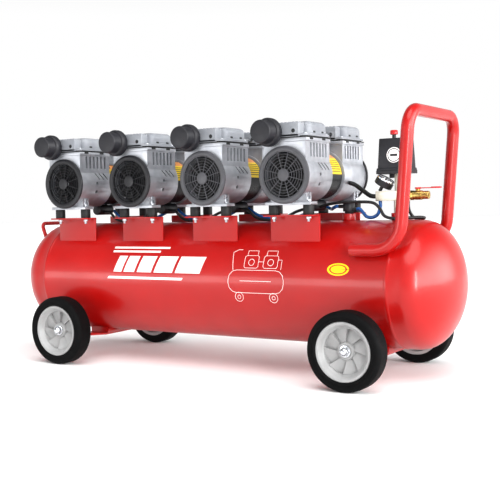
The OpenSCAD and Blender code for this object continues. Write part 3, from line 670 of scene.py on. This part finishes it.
def make_fan_covers():
    """A stepped rim, a hub disc, thin rings and bars, made for the rear end of a pump at x = 0."""
    y = CASE_OUT
    rim = [(y, 60), (y, 74), (y + 1, 75), (y + 5, 75), (y + 6.2, 74.2), (y + 7.4, 71.5), (y + 8, 68.5),
           (y + 8, 64), (y + 7.2, 62.6), (y + 5.8, 62), (y + 5.4, 60)]
    ring = turned("cover", rim, "Y", (0, 0, SHAFT_Z), 96)
    disc = [(y + 8, 0), (y + 8, 15), (y + 7.4, 16.4), (y + 6, 17), (y + 3, 17), (y + 3, 0)]
    hub = turned("hub", disc, "Y", (0, 0, SHAFT_Z), 48, closed=False)
    parts = [ring, hub]
    for r in (24.5, 32, 39.5, 47, 54):
        wire = [(y + 4, r - 0.6), (y + 4, r + 0.6), (y + 6.6, r + 0.45), (y + 6.6, r - 0.45)]
        parts.append(turned("ring", wire, "Y", (0, 0, SHAFT_Z), 64))
    for k in range(12):
        bar = boxed("bar", (15, y + 4, SHAFT_Z - 0.8), (61.5, y + 7.2, SHAFT_Z + 0.8), 0.3)
        bar.data.transform(turned_about((k + 0.5) * 30, "Y", 0, 0, SHAFT_Z))
        parts.append(bar)
    cover = joined("cover", parts)
    dark = [p for k, p in enumerate(BOTH_ENDS) if k not in (5, 7)]
    grey = [BOTH_ENDS[5], BOTH_ENDS[7]]
    for name, places, material in (("fan_covers_black", dark, BLACK_NYLON),
                                   ("fan_covers_grey", grey, GREY_ABS)):
        group = spread(copied(cover, name, Matrix.Identity(4)), places)
        settle(group, material, "chassis", "dark_plastic", "fan_covers")
    bpy.data.objects.remove(cover)


def make_mufflers():
    """The intake mufflers: a flange, a wide drum and a narrower cap."""
    y = -BARREL_Y - 67
    profile = [(y, 0), (y, 22), (y - 3, 22), (y - 3.8, 32), (y - 5, 34.5), (y - 8.5, 37), (y - 10, 37.5),
               (y - 21, 37.5),
               (y - 22.5, 37), (y - 24, 36), (y - 26.5, 35.2), (y - 27.6, 34.2), (y - 28, 32.5),
               (y - 28.6, 31.2), (y - 30, 30.5),
               (y - 54, 30.5), (y - 56.3, 29.9), (y - 57.8, 28.6), (y - 58.5, 26.8), (y - 58.5, 3),
               (y - 58.5, 0)]
    muffler = turned("intake_muffler_set", profile, "Y", (-37.5, 0, HEAD_Z + 14.5), 72, closed=False)
    settle(spread(muffler, AT_PUMPS), DARK_NYLON, "chassis", "dark_plastic", "intake_mufflers")


def make_rotor(i):
    """The motor shaft with its core, and a fan at each end: a dished disc with curved blades."""
    x = PUMP_X[i - 1]
    half = [(29, 34), (30, 33), (30, 14), (32, 9), (165.4, 9), (166, 8.4), (166, 0)]
    steps = [(-y, r) for y, r in reversed(half)] + half
    shaft = turned("shaft", steps, "Y", (0, 0, SHAFT_Z), 48, closed=False)
    cams = []
    for y, side in ((BARREL_Y, 10), (-BARREL_Y, -10)):
        cams.append(turned("cam", [(y - 6, 0), (y - 6, 13.5), (y - 5.5, 14), (y + 5.5, 14), (y + 6, 13.5),
                                   (y + 6, 0)], "Y",
                           (side, 0, SHAFT_Z), 40, closed=False))
    steel = joined(f"motor_shaft_{i}", [shaft] + cams)
    steel.data.transform(moved(x))
    settle(steel, TURNED_STEEL, f"motor_{i}", "rotor_steel", f"rotor_{i}")
    disc = turned("disc", [(151, 9), (151, 57), (152.5, 57), (152.5, 17), (160, 16.5), (163.4, 15.5),
                           (163.8, 9)], "Y",
                  (0, 0, SHAFT_Z), 64)
    blades = [disc]
    for k in range(11):
        def blade(u, v, w, start=k * 360 / 11):
            r, a = 17 + 39 * u, math.radians(start + 26 * u * u + (w - 0.5) * 70 / (17 + 39 * u))
            return r * math.cos(a), 152 + 11 * v * (1 - 0.25 * u), SHAFT_Z + r * math.sin(a)
        blades.append(formed("blade", (7, 2), blade))
    fan = joined("fan", blades)
    fans = spread(fan, [moved(x), moved(x) @ HALF_TURN])
    fans.name = f"cooling_fans_{i}"
    settle(fans, FAN_NYLON, f"motor_{i}", "rotor_steel")


def make_stators():
    """The grooved stator packs and their blank labels."""
    lamination = [(-36, 35), (-36, 61), (-34.5, 63.2)]
    for k in range(13):
        y = -33 + k * 5.5
        lamination += [(y, 63.8), (y + 3.7, 63.8), (y + 4.1, 63.1), (y + 5.1, 63.1)]
    lamination = [p for p in lamination if p[0] < 34] + [(34.5, 63.2), (36, 61), (36, 35)]
    body = turned("stator_packs", lamination, "Y", (0, 0, SHAFT_Z), 96)
    settle(spread(body, AT_PUMPS), STATOR_LACQUER, "chassis", "stator_black", "stators")

    def label(name, y0, y1, a0, a1, lift):
        return formed(name, (16, 6), lambda u, v, w: (
            (63.9 + lift + 0.35 * w) * math.sin(math.radians(a0 + (a1 - a0) * u)), y0 + (y1 - y0) * v,
            SHAFT_Z + (63.9 + lift + 0.35 * w) * math.cos(math.radians(a0 + (a1 - a0) * u))))
    yellow = label("stator_label_yellow", -30, 30, 44, 88, 0)
    orange = label("stator_label_orange", -30, 30, 22, 44, 0)
    bars = joined("stator_label_bars", [label("b", -26, 26, a, a + 1.6, 0.2) for a in (50, 56, 62, 68, 74,
                                                                                       80)]
                  + [label("b", -26, -6, 27, 39, 0.2)])
    for piece, material in ((yellow, YELLOW_FILM), (orange, ORANGE_FILM), (bars, BLACK_FILM)):
        settle(spread(piece, AT_PUMPS), material, "chassis", "stator_black")


def rounded_box(name, low, high, edge, top, segments=4):
    """A block whose upright edges are rounded by edge mm and whose top edges by top mm."""
    piece = boxed(name, low, high)
    for radius, upright in ((edge, True), (top, False)):
        bpy.ops.object.select_all(action="DESELECT")
        activate(piece)
        bpy.ops.object.mode_set(mode="EDIT")
        bpy.ops.mesh.select_all(action="DESELECT")
        bpy.ops.mesh.select_mode(type="EDGE")
        bpy.ops.object.mode_set(mode="OBJECT")
        for line in piece.data.edges:
            a, b = (piece.data.vertices[k].co for k in line.vertices)
            stands = abs(a.z - b.z) > 0.001
            on_top = min(a.z, b.z) > high[2] * MM - 1e-6
            line.select = stands if upright else on_top
        bpy.ops.object.mode_set(mode="EDIT")
        bpy.ops.mesh.bevel(offset=radius * MM, segments=segments, affect="EDGES")
        bpy.ops.mesh.select_mode(type="VERT")
        bpy.ops.object.mode_set(mode="OBJECT")
    return close_mesh(piece, 50)


def make_heads():
    """Flange, port box with its bosses, and a domed valve cover with cast ribs; then black pieces as
    painted shade in the boss holes, under the flange, on the deck plate's notches and in side pockets.
    """
    sets = []
    for sy in (-BARREL_Y, BARREL_Y):
        flange = rounded_box("flange", (-67, sy - 67, HEAD_Z + 2.4), (67, sy + 67, HEAD_Z + 8), 9, 1.2)
        ports = rounded_box("ports", (-60, sy - 67, HEAD_Z + 1), (45, sy - 37, HEAD_Z + 38), 3, 3)
        dome = rounded_box("dome", (-60, sy - 39, HEAD_Z + 1), (60, sy + 64, HEAD_Z + 42), 16, 15, 6)
        skirt = rounded_box("skirt", (-61.5, sy - 40, HEAD_Z + 6), (61.5, sy + 65, HEAD_Z + 12), 17, 2)
        boss = turned("boss", [(-67.8, 5.4), (-67.8, 8.6), (-67, 9.4), (-60, 9.4), (-60, 5.4)], "Y",
                      (28, sy, HEAD_Z + 16), 40)
        ribs = [boxed("rib", (x, sy - 65, HEAD_Z + 37), (x + 6.5, sy - 50, HEAD_Z + 39.2),
                      0.6) for x in range(-54, 36, 11)]
        sets += [flange, ports, dome, skirt, boss] + ribs
    settle(spread(joined("head_castings", sets), AT_PUMPS), HEAD_ALUMINIUM, "chassis", "head_aluminium",
           "cylinder_heads")
    # Painted shade: black pieces stand for the shade in the boss holes, the shadow gap under the head
    # flange, the notches on the deck plate's edges and the pockets in the head's sides.
    dark = []
    for sy in (-BARREL_Y, BARREL_Y):
        dark.append(turned("hole", [(-67.5, 0), (-67.5, 5.5), (-62, 5.5), (-62, 0)], "Y",
                           (28, sy, HEAD_Z + 16), 32, closed=False))
        dark.append(rounded_box("painted_gasket_shadow", (-64, sy - 64, HEAD_Z - 0.5), (64, sy + 64, HEAD_Z + 4), 9, 0.5, 2))
        for y in (-48, 20):
            for x in (-66.7, 65.5):
                dark.append(boxed("painted_notch_shade", (x, sy + y, HEAD_Z - 7), (x + 1.2, sy + y + 17, HEAD_Z - 1)))
        for x in (-44, 8):
            dark.append(boxed("painted_notch_shade", (x, sy - 66.2, HEAD_Z - 7), (x + 20, sy - 65, HEAD_Z - 1)))
        for y in (-18, 28):
            dark.append(rounded_box("painted_pocket_shade", (55, sy + y, HEAD_Z + 12), (60.6, sy + y + 12, HEAD_Z + 17),
                                    1, 1, 2))
            dark.append(rounded_box("painted_pocket_shade", (-60.6, sy + y, HEAD_Z + 12), (-55, sy + y + 12, HEAD_Z + 17),
                                    1, 1, 2))
    settle(spread(joined("head_painted_shade", dark), AT_PUMPS), BLACK_RUBBER, "chassis", "gasket_black")


# ---------------------------------------------------------------- controls
def make_switch():
    """The pressure switch's hood with a blank badge, and its pull knob."""
    settle(worked_copy("switch_cover", 2.0, "switch_hood", 3), DARK_NYLON, "chassis", "dark_plastic",
           "switch_cover")
    lip = boxed("switch_lip", (538 - 44, -30, 541), (538 + 44, 30, 549), 1.5)
    settle(lip, DARK_NYLON, "chassis", "dark_plastic")
    tilt = turned_about(-math.degrees(math.atan2(3, 82)), "X", 0, -26.6, 582)

    def disc(name, r0, r1, front):
        profile = [(-26, r0), (front, r0), (front, r1 - 0.4), (front + 0.4, r1), (-26, r1)]
        if r0 == 0:
            profile = [(front, 0), (front, r1 - 0.4), (front + 0.4, r1), (-26, r1), (-26, 0)]
        piece = turned(name, profile, "Y", (542, 0, 582), 56, closed=r0 > 0)
        piece.data.transform(tilt)
        return piece
    settle(disc("badge_rim", 17.6, 20, -27.9), WHITE_FILM, "chassis", "rim_plastic")
    settle(disc("badge_band", 0, 17.7, -27.3), BLACK_FILM, "chassis", "dark_plastic")
    settle(disc("badge_face", 0, 15.4, -27.7), WHITE_FILM, "chassis", "rim_plastic")
    bar = boxed("badge_bar", (532, -28.1, 579), (552, -27.2, 585), 0.4)
    bar.data.transform(tilt)
    settle(bar, BLACK_FILM, "chassis", "dark_plastic")
    stem = turned("start_stem", [(602, 0), (602, 5), (635.5, 5), (635.5, 0)], "Z", (532, 0, 0), 32,
                  closed=False)
    crown = [(636, 0), (636, 8.6), (637, 9.8), (639, 10), (645, 10), (647.4, 9.2), (648, 7.6), (647.6, 0)]
    cap = turned("start_cap", crown, "Z", (532, 0, 0), 48, closed=False)
    settle(stem, BLACK_NYLON, "start_knob", "dark_plastic")
    settle(cap, KNOB_RED, "start_knob", "knob_red", "on_off_knob")


def make_gauge():
    """Modelled upright about the gauge's middle, then leaned towards the push handle."""
    lean = moved(504, 0, 514.5) @ Matrix.Rotation(math.radians(32), 4, "Y")
    cup = [(-28, 0), (-28, 4.5), (-12, 4.5), (-12, 23), (-10.5, 24.6), (4.8, 24.6), (4.8, 22), (4, 22),
           (4, 0)]
    case = turned("case", cup, "Z", (0, 0, 0), 64, closed=False)
    lip = [(4.2, 24.2), (5, 25), (8.6, 25), (9.8, 24.2), (10, 23.2), (9.4, 22.2), (6, 22), (4.4, 22)]
    bezel = turned("bezel", lip, "Z", (0, 0, 0), 64)
    dial = turned("dial", [(4.05, 0), (4.05, 21.9), (4.45, 21.9), (4.45, 0)], "Z", (0, 0, 0), 64,
                  closed=False)
    ticks = []
    for k in range(13):
        tick = boxed("tick", (-0.35, 15.5 if k % 3 else 13.5, 4.3), (0.35, 19.5, 4.6))
        tick.data.transform(Matrix.Rotation(math.radians(135 - k * 22.5), 4, "Z"))
        ticks.append(tick)
    needle = [turned("pin", [(4.6, 0), (4.6, 2.5), (6.6, 2.5), (7, 2), (7, 0)], "Z", (0, 0, 0), 32,
                     closed=False),
              formed("pointer", (6, 2), lambda u, v, w: ((v - 0.5) * (1.9 - 1.5 * u), -4 + 19 * u,
                                                         5.1 + 0.9 * w))]
    needle[1].data.transform(Matrix.Rotation(math.radians(-135), 4, "Z"))
    for piece, name, material, body, slot, replaced in (
            (case, "gauge_body", BLACK_NYLON, "chassis", "dark_plastic", ["gauge_case"]),
            (bezel, "gauge_bezel", CHROME, "chassis", "chrome", []),
            (dial, "gauge_dial", WHITE_FILM, "chassis", "dark_plastic", []),
            (joined("ticks", ticks), "gauge_marks", BLACK_FILM, "chassis", "dark_plastic", []),
            (joined("needle", needle), "gauge_pointer_arm", BLACK_NYLON, nodes["gauge_needle"]["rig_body"],
             "dark_plastic",
             ["gauge_needle"])):
        piece.data.transform(lean)
        piece.name = name
        settle(piece, material, body, slot, *replaced)


def make_lines():
    """The air lines, leads and delivery hose, along the CAD model's routes."""
    line = [(10, 40, 452), (40, 24, 438), (72, 8, 428), (110, 4, 421), (150, 8, 420), (190, 22, 426),
            (222, 36, 442),
            (244, 42, 454)]
    last = [(PUMP_X[3] + 10, 40, 452), (330, 30, 445), (346, 10, 448), (360, 0, 452), (368, 0, 452)]
    bow = [(422, 0, 444), (430, 0, 444), (440, 0, 434), (450, 1, 423), (466, 2, 421), (482, 2, 430),
           (490, 0, 450), (490, 0, 464)]
    routes = [[(x + p[0], p[1], p[2]) for p in line] for x in PUMP_X[:3]] + [last, bow]
    blue = joined("air_lines", [swept("line", smooth_route(route), 4.5, 4) for route in routes])
    settle(blue, BLUE_LINE, "chassis", "blue_hose", "air_hoses")
    lead = [(17, -10, 450), (50, -24, 446), (84, -32, 424), (129, -36, 418), (174, -32, 424),
            (208, -24, 440), (240, -10, 450)]
    loop = [(560, 20, 524), (560, 24, 482), (557, 32, 442), (566, 44, 419), (588, 40, 416), (604, 22, 418),
            (597, 2, 420),
            (570, -24, 419), (540, -30, 418), (514, -28, 425), (498, -24, 446), (478, -22, 460),
            (440, -24, 463),
            (400, -28, 463), (368, -24, 461), (340, -18, 457), (317, -12, 452)]
    delivery = [(369, 70, 516), (394, 52, 509), (430, 26, 492), (456, 7, 480), (470, 0, 477), (482, 0, 477)]
    leads = [swept("lead", smooth_route([(x + p[0], p[1], p[2]) for p in lead]), 4, 4) for x in PUMP_X[:3]]
    leads += [swept("lead", smooth_route(loop), 4, 4), swept("lead", smooth_route(delivery), 6, 5)]
    settle(joined("leads", leads), BLACK_SHEATH, "chassis", "cable_black", "wiring")


make_camera()
make_stage()
make_tank()
make_marks()
make_handles()
make_wheels()
make_castings()
make_fan_covers()
make_mufflers()
make_stators()
make_heads()
make_switch()
make_gauge()
make_lines()

# CAD shapes that only need their edges finished: node, edge radius in mm, material, slot
FINISHED = (
    ("tank_ports", 0.8, RED_ENAMEL, "red_paint"), ("motor_saddles", 1.2, RED_ENAMEL, "red_paint"),
    ("wheel_straps", 1.2, RED_ENAMEL, "red_paint"), ("stub_axles", 0.5, ZINC_STEEL, "zinc_steel"),
    ("foot_bolts", 0.6, ZINC_STEEL, "zinc_steel"), ("head_bolts", 0.6, ZINC_STEEL, "zinc_steel"),
    ("safety_ring", 0.2, ZINC_STEEL, "zinc_steel"), ("axle_nuts", 0.6, CHROME, "chrome"),
    ("drain_valve", 0.5, BRASS, "brass"), ("drain_knob", 0.8, BRASS, "brass"),
    ("safety_valve", 0.5, BRASS, "brass"),
    ("ball_valve", 0.6, BRASS, "brass"), ("rubber_feet", 1.0, BLACK_RUBBER, "black_rubber"),
    ("head_gaskets", 0.3, BLACK_RUBBER, "gasket_black"), ("crossover_tubes", 0.3, TUBE_ALUMINIUM,
                                                          "bare_aluminium"),
    ("switch_base", 1.5, BLACK_NYLON, "dark_plastic"), ("check_valve", 0.8, BLACK_NYLON, "dark_plastic"),
    ("capacitors", 1.5, BLACK_NYLON, "dark_plastic"), ("manifold", 1.2, NICKEL, "nickel_brass"),
    ("valve_lever", 0.9, KNOB_RED, "knob_red"),
)
for name, width, material, slot in FINISHED:
    settle(worked_copy(name, width), material, nodes[name]["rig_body"], slot, name)
paint_node("shaft_bearings", ZINC_STEEL)
for i in PUMPS:
    make_rotor(i)
    for side in SIDES:
        paint_node(f"piston_{side}_{i}", HEAD_ALUMINIUM)
